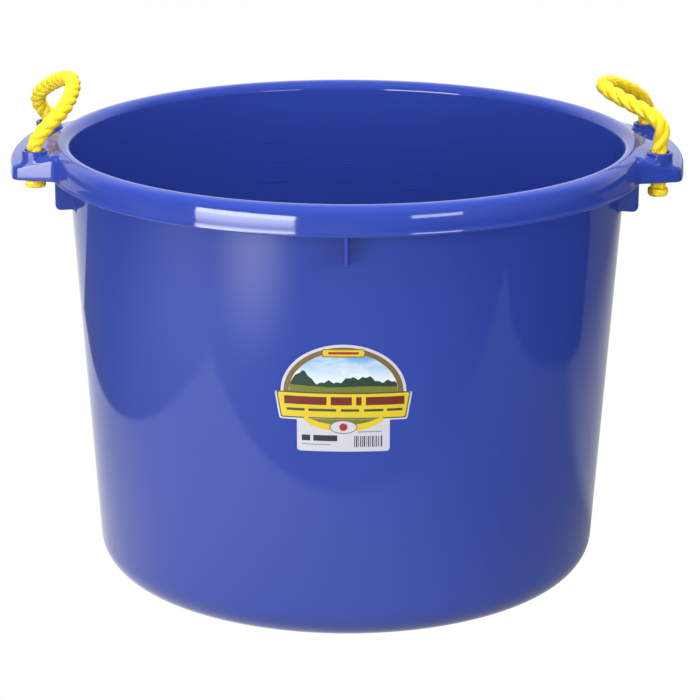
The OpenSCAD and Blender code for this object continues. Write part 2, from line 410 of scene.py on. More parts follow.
def stop_finish():
    """Rope ends melted into a head: waxy, a little browned, with soft lumps."""
    f = Finish("stop_yellow", IOR=1.49, Subsurface_Weight=0.15, Subsurface_Scale=0.003,
               Subsurface_Radius=(1.0, 0.6, 0.1))
    where = f.place()
    cloud = f.noise(where, 160, 4)
    f.to("Base Color", f.ramp(cloud, (0.3, (0.60, 0.36, 0.01, 1)), (0.5, (0.90, 0.66, 0.01, 1)),
                              (0.75, (0.95, 0.77, 0.03, 1))))
    f.to("Roughness", f.span(cloud, 0.3, 0.7, 0.5, 0.32))
    f.to("Normal", f.bump(f.noise(where, 520, 3), 0.0002))
    return f.material


def ink(name, colour, spread=0.06):
    """Print on coated paper: a slightly uneven ink film over a fine paper grain."""
    f = Finish(name, IOR=1.47, Coat_Weight=0.25, Coat_Roughness=0.18)
    where = f.place()
    grain = f.noise(where, 1500, 2)
    dark = tuple(c * (1 - spread) for c in colour) + (1,)
    light = tuple(min(c * (1 + spread), 1) for c in colour) + (1,)
    f.to("Base Color", f.ramp(grain, (0.35, dark), (0.65, light)))
    f.to("Roughness", f.span(grain, 0.3, 0.7, 0.28, 0.38))
    f.to("Normal", f.bump(f.noise(where, 240, 2), 0.00003))
    return f.material


def sky_ink(low_z, high_z):
    """The picture's sky: blue at the top, pale near the ground, with soft cloud."""
    f = Finish("ink_sky", IOR=1.47, Coat_Weight=0.25, Coat_Roughness=0.18, Roughness=0.32)
    where = f.place()
    rise = f.span(f.split(where)["Z"], low_z, high_z, 0, 1)
    cloud = f.span(f.noise(f.place((1, 1, 2.5)), 45, 4, 0.6), 0.45, 0.7, 0, 0.45)
    f.to("Base Color", f.ramp(f.math("SUBTRACT", rise, cloud), (0.1, (0.66, 0.71, 0.78, 1)),
                              (0.9, (0.12, 0.33, 0.62, 1))))
    f.to("Normal", f.bump(f.noise(where, 240, 2), 0.00003))
    return f.material


# ---------------------------------------------------------------- ropes
def spline(a, b, c, d, t):
    """Catmull-Rom point between b and c."""
    return 0.5 * (2 * b + (c - a) * t + (2 * a - 5 * b + 4 * c - d) * t ** 2
                  + (3 * b - a - 3 * c + d) * t ** 3)


def centre_line(side, hinge_z, stop_z, route, step):
    """The rope's whole centre line from stop to stop, in evenly spaced points."""
    loop = [(side * (ROPE_X - q[0]), q[1], hinge_z + q[2]) for q in route]
    leg_z = [stop_z - 1, stop_z + 8, stop_z + 17, hinge_z - 7]
    front = [(side * ROPE_X, -ROPE_Y, z) for z in leg_z]
    back = [(side * ROPE_X, ROPE_Y, z) for z in reversed(leg_z)]
    p = [np.array(q, float) for q in front + loop + back]
    p = [2 * p[0] - p[1]] + p + [2 * p[-1] - p[-2]]
    fine = [spline(p[i], p[i + 1], p[i + 2], p[i + 3], t)
            for i in range(len(p) - 3) for t in np.arange(0, 1, 0.05)] + [p[-2]]
    fine = np.array(fine)
    along = np.concatenate([[0], np.cumsum(np.linalg.norm(np.diff(fine, axis=0), axis=1))])
    at = np.linspace(0, along[-1], int(along[-1] / step) + 1)
    return np.stack([np.interp(at, along, fine[:, k]) for k in range(3)], axis=1), at


def frames(line):
    """Two sideways directions at each point, carried along without twist."""
    ahead = np.gradient(line, axis=0)
    ahead /= np.linalg.norm(ahead, axis=1)[:, None]
    side = np.cross(ahead[0], (0, 1, 0))
    sides = []
    for d in ahead:
        side = side - d * side.dot(d)
        side /= np.linalg.norm(side)
        sides.append(side)
    sides = np.array(sides)
    return sides, np.cross(ahead, sides)


def add_rope(name, side, hinge_z, stop_z, route, lay, turn):
    """Three twisted strands, each with a ring of small yarns."""
    line, at = centre_line(side, hinge_z, stop_z, route, ROPE_STEP)
    across, over = frames(line)
    around = 30
    points, faces, coords = [], [], []
    for strand in range(3):
        angle = 2 * math.pi * (at / lay + strand / 3) + turn
        out = np.cos(angle)[:, None] * across + np.sin(angle)[:, None] * over
        middle = line + STRAND_OFFSET * out
        u, v = frames(middle)
        base = len(points)
        for i in range(len(middle)):
            for k in range(around):
                a = 2 * math.pi * k / around
                lump = 1 + YARN_DEPTH * math.cos(YARNS * (a + 2 * math.pi * at[i] / YARN_LAY))
                points.append(middle[i] + STRAND_R * lump * (math.cos(a) * u[i] + math.sin(a) * v[i]))
        for i in range(len(middle) - 1):
            for k in range(around):
                n = (k + 1) % around
                a, b = base + i * around, base + (i + 1) * around
                faces.append((a + k, a + n, b + n, b + k))
                coords.append([((k + j) / around, at[i + m] * 0.05) for j, m in
                               ((0, 0), (1, 0), (1, 1), (0, 1))])
        for row, order in ((0, -1), (len(middle) - 1, 1)):
            ring = [base + row * around + k for k in range(around)][::order]
            faces.append(tuple(ring))
            coords.append([(0, 0)] * around)
    mesh = bpy.data.meshes.new(name)
    mesh.from_pydata([tuple(c * MM for c in p) for p in points], [], faces)
    uv = mesh.uv_layers.new(name="strand")
    uv.data.foreach_set("uv", [c for face in coords for pair in face for c in pair])
    mesh.shade_smooth()
    return new_object(name, mesh), line


def add_stop(name, side, y_side, stop_z, seed):
    """A rope end melted and pressed into a mushroom head."""
    half = STOP_D / 2
    profile = ([(0.0, 0.9), (3.0, 0.5), (5.5, 0.1)] + arc(half - 2.8, 2.6, 2.6, -90, -5, 6)
               + arc(half - 1.7, STOP_H - 2.0, 1.6, 20, 75, 4)
               + [(7.6, STOP_H - 0.15), (6.9, STOP_H - 0.05), (5.0, STOP_H - 0.1), (0.0, STOP_H - 0.1)])
    rng = np.random.default_rng(seed)
    phase = rng.uniform(0, 2 * math.pi, 4)
    segments = 64
    shape = Shape()
    shape.lathe(profile, segments)
    warped = []
    for x, y, z in shape.points:
        a = math.atan2(y, x)
        r = math.hypot(x, y)
        lobes = 0.022 * math.cos(3 * a + phase[0]) + 0.012 * math.cos(5 * a + phase[1])
        ripple = 0.008 * math.cos(11 * a + phase[2])
        grow = 1 + (lobes + ripple) * min(1, r / 6) - 0.02
        lift = 0.12 * math.cos(4 * a + phase[3]) * (1 - z / STOP_H) * min(1, r / 6)
        warped.append((side * ROPE_X + x * grow, y_side * ROPE_Y + y * grow,
                       stop_z - STOP_H + z + lift + 0.05))
    shape.points = warped
    return shape.object(name, 60)


def add_ropes():
    """Both ropes, each bending from its ends into its handle, with a stop at either end."""
    rope_look = rope_finish()
    stop_look = stop_finish()
    sides = (
        ("left", -1, LEFT_HINGE_Z, LEFT_STOP_Z, LEFT_ROUTE, LEFT_LAY, LEFT_TURN, LEFT_LENGTH),
        ("right", 1, RIGHT_HINGE_Z, RIGHT_STOP_Z, RIGHT_ROUTE, RIGHT_LAY, RIGHT_TURN, RIGHT_LENGTH))
    for word, side, hinge_z, stop_z, route, lay, turn, length in sides:
        rope, line = add_rope(f"{word}_rope", side, hinge_z, stop_z, route, lay, turn)
        ends, handle = f"{word}_rope_ends", f"{word}_handle"
        rope.data.materials.append(rope_look)
        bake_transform(rope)
        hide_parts(f"{word}_rope_loop", f"{word}_front_leg", f"{word}_back_leg")
        stops = []
        for spot, y_side in (("front", -1), ("back", 1)):
            stop = add_stop(f"{word}_{spot}_stop_head", side, y_side, stop_z, 7 * len(stops) + side + 3)
            place(stop, ends, "stop_plastic", stop_look, f"{word}_{spot}_stop")
            stops.append(stop)


# ---------------------------------------------------------------- tub
def wall_r(z):
    """Outer radius of the wall at a height."""
    return BASE_R + TAPER * z


def skirt_r(z):
    """Outer radius of the skirt at a height: flared below, bowed above, then rolling over."""
    if z < BOW_Z:
        return RIM_R + SKIRT_FLARE * ((BOW_Z - max(z, SKIRT_Z)) / FLARE_H) ** 2
    if z < BOW_Z + BOW_R * BOW_SIN:
        return RIM_R - BOW_R + math.sqrt(BOW_R ** 2 - (z - BOW_Z) ** 2)
    return EDGE_CX + math.sqrt(max(EDGE_ROUND ** 2 - (z - EDGE_CZ) ** 2, 0))


def roll_z(r):
    """Height of the rim's rolled top at a radius."""
    if r < EDGE_CX + EDGE_ROUND * BOW_COS:
        return EDGE_CZ + math.sqrt(EDGE_ROUND ** 2 - max(r - EDGE_CX, 0) ** 2)
    return BOW_Z + math.sqrt(BOW_R ** 2 - (min(r, RIM_R - 0.5) - RIM_R + BOW_R) ** 2)


def tub_profile():
    """Closed section of base, wall, rim and skirt with every corner rounded."""
    lip_flat_r = BASE_R + TAPER * (TUB_H - LIP_ROUND) - WALL + LIP_ROUND
    edge = SKIRT_T / 2
    inner_round = 2.5
    curl = 16
    curl_sin, curl_cos = math.sin(math.radians(curl)), math.cos(math.radians(curl))
    hollow = (edge * (curl_cos - 1) + SKIRT_FLARE) / (1 - curl_cos)
    hollow_z = SKIRT_Z + edge + (edge + hollow) * curl_sin
    return polyline(
        [(0.0, FOOT_DEPTH)],
        arc(FOOT_R - 8, FOOT_DEPTH - 2, 2, 90, 70, 3),
        arc(FOOT_R + 1.4, 1.4, 1.4, 200, 270, 4),
        arc(ROUND_CX, BASE_ROUND, BASE_ROUND, -90, WALL_ANGLE, 20),
        arc(wall_r(FLANGE_Z) + inner_round, FLANGE_Z - inner_round, inner_round, 180, 90, 5),
        arc(EDGE_CX, EDGE_CZ, EDGE_ROUND - WALL, 90, BOW_ANGLE, 6),
        arc(RIM_R + SKIRT_FLARE - edge, SKIRT_Z + edge, edge, 180, 360 + curl, 14),
        arc(RIM_R + hollow, hollow_z, hollow, 180 + curl, 180, 6),
        arc(RIM_R - BOW_R, BOW_Z, BOW_R, 0, BOW_ANGLE, 8),
        arc(EDGE_CX, EDGE_CZ, EDGE_ROUND, BOW_ANGLE + 5, 90, 15),
        arc(lip_flat_r, TUB_H - LIP_ROUND, LIP_ROUND, 90, 180 + WALL_ANGLE, 14),
        arc(ROUND_CX, BASE_ROUND, BASE_ROUND - WALL, WALL_ANGLE, -90, 16),
        [(FOOT_R, WALL), (FOOT_R - 8, WALL + FOOT_DEPTH), (0.0, WALL + FOOT_DEPTH)], rows=12)


def ear_top(r, share=0.0):
    """Height of an ear's top at a radius; towards the fillets it sinks into the rim's roll."""
    plate = EAR_ROOT_Z - math.tan(EAR_TILT) * (r - EAR_ROOT_R)
    sunk = min(plate, roll_z(r)) - 0.4
    return plate + (sunk - plate) * share ** 1.3


def end_gap(x, y):
    """Distance of a point from an ear's end face, inwards."""
    reach = BOSS_X * math.sin(EAR_TAPER) + EAR_HALF_W * math.cos(EAR_TAPER)
    return reach - abs(x) * math.sin(EAR_TAPER) - abs(y) * math.cos(EAR_TAPER)


def ear_surface(x, y):
    """Height of an ear's top, with the rounding along its end face."""
    deep = EAR_ROUND - min(end_gap(x, y), EAR_ROUND)
    return ear_top(math.hypot(x, y)) - EAR_ROUND + math.sqrt(EAR_ROUND ** 2 - deep ** 2)


def ear_outline():
    """Half outline of an ear in plan, from its middle to the skirt: (x, y, inward, share)."""
    across = np.array((math.sin(EAR_TAPER), math.cos(EAR_TAPER)))
    along = np.array((math.cos(EAR_TAPER), -math.sin(EAR_TAPER)))
    reach = end_gap(0, 0)

    def centre(depth, radius):
        return across * depth + along * math.sqrt(radius ** 2 - depth ** 2)

    def polar(a):
        return np.array((math.cos(math.radians(a)), math.sin(math.radians(a))))

    corner = centre(reach - EAR_CORNER, EAR_R - EAR_CORNER)
    fillet = centre(reach + EAR_FILLET, RIM_R + EAR_FILLET)
    turn = math.degrees(math.atan2(corner[1], corner[0]))
    meet = math.degrees(math.atan2(fillet[1], fillet[0]))
    square = 90 - math.degrees(EAR_TAPER)
    out = [(EAR_R * polar(a), -polar(a), 0.0) for a in np.linspace(0, turn, 24)[:-1]]
    out += [(corner + EAR_CORNER * polar(a), -polar(a), 0.0) for a in np.linspace(turn, square, 10)]
    start = corner + EAR_CORNER * across
    end = fillet - EAR_FILLET * across
    out += [(start + (end - start) * t, -across, 0.0) for t in np.linspace(0, 1, 12)[1:-1]]
    for t in np.linspace(0, 1, 14):
        d = polar(square - 180 + (meet - square) * t)
        out.append((fillet + EAR_FILLET * d, d, t))
    return out


def ear_section(point, inward, share):
    """One closed section of the ear's shell, as points in the tub's frame."""
    shrink = 1 - 0.6 * share
    thick = EAR_T * shrink
    top_round = EAR_ROUND * shrink
    edge = 1.2 * shrink
    inner = 1.6 * shrink

    def at(inset, z):
        flare = share * (skirt_r(z) - RIM_R)
        p = point + inward * inset
        return (*(p * (1 + flare / np.linalg.norm(p))), z)

    def lean(z):
        return EAR_DRAFT * (z - SKIRT_Z - 9) * (1 - share)

    def drop(inset):
        return ear_top(np.linalg.norm(point + inward * inset), share)

    rows = []
    for inset, z in arc(thick + inner, 0, inner, 90, 180, 4):
        rows.append(at(inset, drop(thick + inner) - thick - inner + z))
    low = SKIRT_Z + 1.2
    rows += [at(thick, z) for z in np.linspace(rows[-1][2], low, 4)[1:]]
    for inset, z in arc(thick / 2, low, edge, 0, -180, 6):
        spread = thick / 2 / edge
        half = thick / 2 - lean(low) / 2
        rows.append(at(half + lean(low) + (inset - thick / 2) * spread * half / (thick / 2), z))
    shoulder = drop(top_round) - top_round
    rows += [at(lean(z), z) for z in np.linspace(low, shoulder, 5)[1:-1]]
    for inset, z in arc(top_round, shoulder, top_round, 180, 90, 7):
        rows.append(at(inset + lean(shoulder), z))
    start = np.array(rows[-1][:2])
    reach = np.linalg.norm(start)
    root = min(EAR_ROOT_R, reach)
    for t in (0.17, 0.33, 0.5, 0.67, 0.83, 1.0):
        r = reach + (root - reach) * t
        rows.append((*(start / reach * r), ear_top(r, share)))
    rows.append((*(start / reach * (root - 0.8)), EAR_ROOT_Z - 1.5))
    tuck = RIM_R - 4
    rows.append((*(start / reach * tuck), EAR_ROOT_Z - 5))
    under = np.array(rows[0][:2])
    low_tuck = ear_top(tuck) - EAR_T - 0.5
    rows.append((*(under / np.linalg.norm(under) * tuck), min(low_tuck, EAR_ROOT_Z - 5.2)))
    return rows


def cut(target, cutter):
    """Subtracts one mesh object from another."""
    change = target.modifiers.new("cut", "BOOLEAN")
    change.operation = "DIFFERENCE"
    change.solver = "EXACT"
    change.object = cutter
    done = bpy.data.meshes.new_from_object(target.evaluated_get(bpy.context.evaluated_depsgraph_get()))
    target.modifiers.clear()
    target.data = done
    bpy.data.objects.remove(cutter)


def ear_shell():
    """The right ear with two holes where the collars stand."""
    half = ear_outline()
    sections = [ear_section(*row) for row in half]
    mirrored = [[(x, -y, z) for x, y, z in section] for section in sections[:0:-1]]
    shape = Shape()
    shape.grid(mirrored + sections, closed_rows=False, cap=True)
    ear = shape.object("ear")
    for y_side in (-1, 1):
        drill = Shape()
        reach = 9.6
        drill.lathe([(0, SKIRT_Z - 5), (reach, SKIRT_Z - 5), (reach, TUB_H), (0, TUB_H)], 40,
                    (BOSS_X, y_side * BOSS_Y))
        cut(ear, drill.object("drill"))
    return ear


def add_boss(shape, side, y_side):
    """A rope collar: a tube with rounded lips and a fillet where it leaves the ear."""
    lip_z = BOSS_TOP_Z - BOSS_LIP
    profile = (
        arc(HOLE_R + 0.9, SKIRT_Z + 0.9, 0.9, 180, 270, 3)
        + arc(BOSS_R - 0.6, SKIRT_Z + 0.6, 0.6, -90, 0, 3)
        + [(BOSS_R, SKIRT_Z + 9), (BOSS_R + BOSS_FILLET, -0.3)]
        + arc(BOSS_R + BOSS_FILLET, BOSS_FILLET, BOSS_FILLET, 270, 180, 7)
        + [(BOSS_R, BOSS_TOP_Z - 2 * BOSS_LIP)]
        + arc(BOSS_R - BOSS_LIP, lip_z, BOSS_LIP, 0, 90, 4)
        + arc(HOLE_R + BOSS_LIP, lip_z, BOSS_LIP, 90, 180, 4)
        + [(HOLE_R, BOSS_TOP_Z - 3), (HOLE_R, SKIRT_Z + 3)])
    boss = Shape()
    boss.lathe(profile, 72, (side * BOSS_X, y_side * BOSS_Y))
    raised = []
    for x, y, z in boss.points:
        # The fillet's heights are counted from the ear's top, so they are the only low ones
        if z < SKIRT_Z - 1:
            push = max(0.4 - end_gap(x, y), 0)
            x -= side * push * math.sin(EAR_TAPER)
            y -= y_side * push * math.cos(EAR_TAPER)
            ear_z = ear_surface(x, y)
            room = BOSS_TOP_Z - 2.6 - ear_z
            z = ear_z + z * min(room / BOSS_FILLET, 1.0)
        raised.append((x, y, z))
    shape.add(raised, boss.faces)


def add_rib(shape, angle):
    """A stacking rib between wall and skirt, with rounded edges and a flare at the wall."""
    low = SKIRT_Z - RIB_H
    inner = wall_r(low) - WALL / 4
    outer = RIM_R - 1
    outline = (
        [(inner, SKIRT_Z + 14), (inner, low - 4)]
        + arc(wall_r(low) + 4, low - 4, 4, 180, 90, 6)
        + arc(outer - 5, low + 5, 5, -90, 0, 8)
        + [(outer, SKIRT_Z - 3), (outer - 0.2, SKIRT_Z + 14)])
    half = RIB_T / 2
    soft = 0.7
    centre = ((inner + outer) / 2, SKIRT_Z)
    rings = []
    for a in (-90, -60, -30, 0, 0.001, 30, 60, 90):
        inset = soft * (1 - math.cos(math.radians(a)))
        across = (half - soft) * (1 if a > 0 else -1) + soft * math.sin(math.radians(a))
        ring = []
        for r, z in outline:
            d = max(math.hypot(r - centre[0], z - centre[1]), 1e-6)
            pull = inset / d
            flare = 1 + 0.7 * max(0, 1 - (r - inner - 1) / 5)
            rr, zz = r + (centre[0] - r) * pull, z + (centre[1] - z) * pull
            ring.append((rr, across * flare, zz))
        rings.append(ring)
    turn = math.radians(angle)
    turned = [[(x * math.cos(turn) - y * math.sin(turn), x * math.sin(turn) + y * math.cos(turn), z)
               for x, y, z in ring] for ring in rings]
    shape.grid(turned, closed_rows=False, cap=True)


def add_tick(shape, x, z, length):
    """A raised graduation line on the inside of the back wall."""
    rings = []
    steps = 6
    for i in range(steps + 1):
        px = x - length / 2 + length * i / steps
        ring = []
        for dz, out in ((-TICK_T / 2, 0.3), (-TICK_T / 2 + 0.25, -TICK_PROUD),
                        (TICK_T / 2 - 0.25, -TICK_PROUD), (TICK_T / 2, 0.3)):
            r = wall_r(z + dz) - WALL * SLANT + out
            ring.append((px, math.sqrt(r * r - px * px), z + dz))
        rings.append(ring)
    shape.grid(rings, closed_rows=False, cap=True)


def add_tub():
    """The one moulding: wall and rim, ears, collars, ribs and graduation lines."""
    shape = Shape()
    shape.lathe(tub_profile(), 320)
    ear = ear_shell()
    points = [tuple(c / MM for c in v.co) for v in ear.data.vertices]
    faces = [tuple(p.vertices) for p in ear.data.polygons]
    shape.add(points, faces)
    shape.add([(-x, y, z) for x, y, z in points], [face[::-1] for face in faces])
    bpy.data.objects.remove(ear)
    for side in (-1, 1):
        for y_side in (-1, 1):
            add_boss(shape, side, y_side)
    for angle in RIB_ANGLES:
        add_rib(shape, angle)
    for column, x in enumerate(TICK_COLUMNS):
        for k in range(TICK_ROWS):
            z = TICK_TOP_Z - TICK_PITCH * k - TICK_SKEW * column
            if k % 2:
                add_tick(shape, x, z, TICK_SHORT)
            else:
                add_tick(shape, x - (TICK_LONG - TICK_SHORT) / 2, z, TICK_LONG)
    tub = shape.object("tub_moulding")
    place(tub, "tub", "tub_plastic", tub_finish(), "tub_wall", "tub_rim")


# ---------------------------------------------------------------- label
def ellipse(cx, cz, rx, rz, start=0, end=360, steps=40):
    """Points on an ellipse or a part of one."""
    angles = [math.radians(start + (end - start) * i / steps) for i in range(steps + 1)]
    return [(cx + rx * math.cos(a), cz + rz * math.sin(a)) for a in angles]


def bar(x0, x1, z0, z1):
    """A plain rectangle."""
    return [(x0, z0), (x1, z0), (x1, z1), (x0, z1)]


def soften(before, corner, after, radius, steps=5):
    """A rounded corner between two neighbours, as points."""
    a, b, c = np.array(before), np.array(corner), np.array(after)
    start = b + (a - b) / np.linalg.norm(a - b) * radius
    end = b + (c - b) / np.linalg.norm(c - b) * radius
    return [tuple(start * (1 - t) ** 2 + b * 2 * t * (1 - t) + end * t ** 2)
            for t in np.linspace(0, 1, steps)]


def label_outline():
    """The die-cut outline with its corners rounded."""
    low, high = BANNER_Z
    wide = BANNER_HALF_W
    panel = PANEL_HALF_W
    arch = ellipse(0, high, ARCH_HALF_W, ARCH_H, 0, 180, 48)
    right = [(0, 0), (panel, 0), (panel, low), (wide[0], low), (wide[1], high), arch[0]]
    radii = (3.0, 1.0, 2.0, 2.0)
    side = []
    for k, radius in enumerate(radii):
        side += soften(right[k], right[k + 1], right[k + 2], radius)
    return side + arch + [(-x, z) for x, z in reversed(side)]


def banner(margin, top):
    """The banner drawn in by a margin at the sides and bottom, and by another at its top."""
    low, high = BANNER_Z
    slope = (BANNER_HALF_W[1] - BANNER_HALF_W[0]) / (high - low)
    half = [BANNER_HALF_W[0] - margin + slope * margin, BANNER_HALF_W[1] - margin - slope * top]
    ring = [(-half[0], low + margin), (half[0], low + margin),
            (half[1], high - top), (-half[1], high - top)]
    out = []
    for k in range(4):
        out += soften(ring[k - 1], ring[k], ring[(k + 1) % 4], 1.4, 4)
    return out


def arch_picture(high):
    """A stitched border round a plain sky, a far row of trees and a meadow."""
    art = [("brown", ellipse(0, high, *BORDER, 0, 180, 60))]
    for k in range(STITCHES):
        a, b = 180 * (k + 0.3) / STITCHES, 180 * (k + 0.7) / STITCHES
        stitch = ellipse(0, high, *STITCH_OUTER, a, b, 2) + ellipse(0, high, *STITCH_INNER, b, a, 2)
        art.append(("field", stitch))
    art.append(("sky", ellipse(0, high, PICTURE_W, PICTURE_H, 0, 180, 60)))
    far = [(-PICTURE_W, high), (PICTURE_W, high)]
    for x in range(44, -45, -2):
        trees = 9 + 1.3 * math.sin(x * 0.37) + 1.0 * math.sin(x * 0.91)
        trees += 10 * math.exp(-((x + 35) / 7) ** 2) + 5 * math.exp(-((x - 14) / 15) ** 2)
        under_border = (PICTURE_H - 0.2) * math.sqrt(1 - (x / PICTURE_W) ** 2)
        far.append((x, high + min(trees, under_border)))
    art.append(("green", far))
    art.append(("field", [(-45, high), (45, high), (44.6, high + 5), (20, high + 6), (-10, high + 5),
                          (-44.6, high + 6.5)]))
    return art


def plate(z, half_w, point_w, half_h):
    """A plate with pointed ends."""
    return [(-half_w, z - half_h), (half_w, z - half_h), (point_w, z),
            (half_w, z + half_h), (-half_w, z + half_h), (-point_w, z)]


def banner_print():
    """The banner with two rows of blank bars."""
    art = [("dark", banner(1.4, -0.3)), ("yellow", banner(2.4, 0.8))]
    art += [("maroon", bar(x0, x1, *WORD_Z)) for x0, x1 in WORD_BARS]
    art += [("dark", bar(x0, x1, *SMALL_Z)) for x0, x1 in SMALL_BARS]
    return art


def ribbon_print():
    """A ribbon under the banner with a plain medallion on it."""
    return [
        ("field", bar(-27, 27, 23.4, 28.8)),
        ("yellow", ellipse(0, 33, 35, 15.2, 196, 344, 24) + ellipse(0, 35, 33, 11.2, 340, 200, 24)),
        ("brown", ellipse(0, MEDALLION_Z, 11.6, 6.0)),
        ("white", ellipse(0, MEDALLION_Z, 10.8, 5.3)),
        ("red", ellipse(0, MEDALLION_Z, 3.4, 3.4))]


def panel_print():
    """Blank bars and a made-up row of stripes on the lower panel."""
    art = [("ink", bar(x0, x1, 9.2, 14.4)) for x0, x1 in ((-34.5, -27.5), (-25, -5))]
    art.append(("grey", bar(-34.5, -11, 5.6, 6.6)))
    art.append(("grey", bar(12, 32, 17, 18.2)))
    x = 9.0
    for k in range(13):
        width = (0.7, 1.2, 0.5, 0.9)[k % 4]
        art.append(("ink", bar(x, x + width, *STRIPE_Z)))
        x += width + (0.8, 0.6, 1.1)[k % 3]
    art.append(("ink", bar(31, 32.2, *STRIPE_Z)))
    return art


def label_art():
    """Areas of colour, later ones over earlier ones: plain bands and bars, no lettering."""
    high = BANNER_Z[1]
    plate_z = high + ARCH_H - 7.5
    art = [("white", label_outline())] + arch_picture(high)
    art.append(("brown", plate(plate_z, 17, 18.4, 3.6)))
    art.append(("yellow", plate(plate_z, 16.3, 17.4, 2.8)))
    art.append(("red", bar(-12.5, 12.5, plate_z - 1.1, plate_z + 1.1)))
    return art + banner_print() + ribbon_print() + panel_print()


def finer(outline, step=2.4):
    """Adds points along an outline, so that it follows the round wall."""
    out = []
    for a, b in zip(outline, outline[1:] + outline[:1]):
        count = max(1, math.ceil(math.dist(a, b) / step))
        out += [(a[0] + (b[0] - a[0]) * i / count, a[1] + (b[1] - a[1]) * i / count)
                for i in range(count)]
    return out


def inside(x, z, outline):
    """Whether a point lies within a closed outline."""
    hit = False
    for (x0, z0), (x1, z1) in zip(outline, outline[1:] + outline[:1]):
        if (z0 > z) != (z1 > z) and x < x0 + (x1 - x0) * (z - z0) / (z1 - z0):
            hit = not hit
    return hit


def on_wall(x, z, out):
    """A label point pressed on to the wall, a little outside it."""
    r = wall_r(LABEL_Z + z) + out
    x += LABEL_X
    return (x * MM, -math.sqrt(r * r - x * x) * MM, (LABEL_Z + z) * MM)


def coloured_faces(art, names):
    """The label cut along every outline: its flat points, and faces with a colour each."""
    wide = BANNER_HALF_W[1]
    tall = BANNER_Z[1] + ARCH_H
    flat = [Vector((x, z)) for x in np.arange(-wide, wide + 0.1, 3) for z in np.arange(1.5, tall, 4)]
    edges = []
    for _, outline in art:
        fine = finer(outline)
        base = len(flat)
        flat += [Vector(p) for p in fine]
        edges += [(base + i, base + (i + 1) % len(fine)) for i in range(len(fine))]
    points, _, faces, *_ = delaunay_2d_cdt(flat, edges, [], 0, 1e-4)
    boxes = [(min(p[0] for p in o), max(p[0] for p in o), min(p[1] for p in o), max(p[1] for p in o))
             for _, o in art]
    kept = []
    for face in faces:
        x = sum(points[i][0] for i in face) / 3
        z = sum(points[i][1] for i in face) / 3
        colour = None
        for (name, outline), (x0, x1, z0, z1) in zip(art, boxes):
            if x0 <= x <= x1 and z0 <= z <= z1 and inside(x, z, outline):
                colour = name
        if inside(x, z, art[0][1]):
            kept.append((face, names.index(colour)))
    return points, kept


def label_mesh(points, kept):
    """A thin closed sheet on the wall from the flat points and coloured faces."""
    used = sorted({i for face, _ in kept for i in face})
    order = {old: new for new, old in enumerate(used)}
    made = bmesh.new()
    front = [made.verts.new(on_wall(*points[i], LABEL_GAP + LABEL_T)) for i in used]
    back = [made.verts.new(on_wall(*points[i], LABEL_GAP)) for i in used]
    for face, colour in kept:
        top = made.faces.new([front[order[i]] for i in face])
        top.material_index = colour
        made.faces.new([back[order[i]] for i in reversed(face)])
    made.edges.ensure_lookup_table()
    rim = [e for e in made.edges if e.is_boundary and e.verts[0] in set(front)]
    pair = dict(zip(front, back))
    for e in rim:
        a, b = e.verts
        made.faces.new((a, b, pair[b], pair[a]))
    bmesh.ops.recalc_face_normals(made, faces=made.faces)
    mesh = bpy.data.meshes.new("label_print")
    made.to_mesh(mesh)
    made.free()
    mesh.shade_smooth()
    mesh.set_sharp_from_angle(angle=math.radians(40))
    return mesh


def add_label():
    """The printed label, with one ink for each colour."""
    art = label_art()
    names = list(dict.fromkeys(name for name, _ in art))
    mesh = label_mesh(*coloured_faces(art, names))
    label = new_object("label_print", mesh)
    low = (LABEL_Z + BANNER_Z[1] + 8) * MM
    looks = {
        "white": ink("ink_white", (0.52, 0.52, 0.59), 0.02),
        "brown": ink("ink_brown", (0.16, 0.08, 0.03)),
        "yellow": ink("ink_yellow", (0.62, 0.47, 0.018)),
        "sky": sky_ink(low, low + 26 * MM),
        "green": ink("ink_green", (0.009, 0.040, 0.023), 0.35),
        "field": ink("ink_field", (0.14, 0.155, 0.022), 0.25),
        "red": ink("ink_red", (0.30, 0.02, 0.02)),
        "maroon": ink("ink_maroon", (0.13, 0.015, 0.008)),
        "dark": ink("ink_dark", (0.03, 0.05, 0.03)),
        "ink": ink("ink_black", (0.02, 0.02, 0.025)),
        "grey": ink("ink_grey", (0.25, 0.25, 0.27)),
    }
    for name in names:
        mesh.materials.append(looks[name])
    place(label, "tub", "label_paper", None, "label")


# ---------------------------------------------------------------- studio
# Sizes and places in metres; a light's level is its radiance
BOUNCE = 0.5
TABLE = [(-0.64, -0.505), (0.94, -0.505), (0.80, -0.39), (0.74, -0.22), (0.74, 0.1), (0.76, 0.22),
         (1.1, 0.42), (3.0, 0.8), (3.0, 6.0), (-3.0, 6.0), (-3.0, 1.0), (-0.54, 0.7), (-0.54, 0.45)]
FLOOR = [(-12, -12), (12, -12), (12, 12), (-12, 12)]
# The tall left box, as (low, high, radiance) bands
LEFT_BANDS = ((0.04, 0.14, 4.5), (0.14, 0.25, 6.5), (0.25, 0.36, 9.5), (0.36, 0.47, 11.5),
              (0.47, 0.645, 17))
# Soft lights, as (name, where, towards, width, height, radiance)
FILLS = (
    ("left_fill", (-0.88, -1.18, 0.33), (-0.1, -0.2, 0.33), 0.80, 0.62, 6.2),
    ("side_fill", (-1.4, -0.3, 0.35), (0, 0, 0.3), 0.5, 0.5, 6),
    ("right_fill", (1.15, -1.2, 0.7), (0, 0, 0.3), 0.6, 0.6, 10),
    ("front_fill", (0.3, -2.2, 0.35), (0, 0, 0.25), 1.2, 0.5, 5),
    ("high_fill", (-0.3, -2.6, 1.9), (0, 0, 0.2), 1.2, 0.8, 4),
    ("top_fill", (-0.2, -0.3, 2.2), (0, 0, 0.2), 1.6, 1.6, 8))


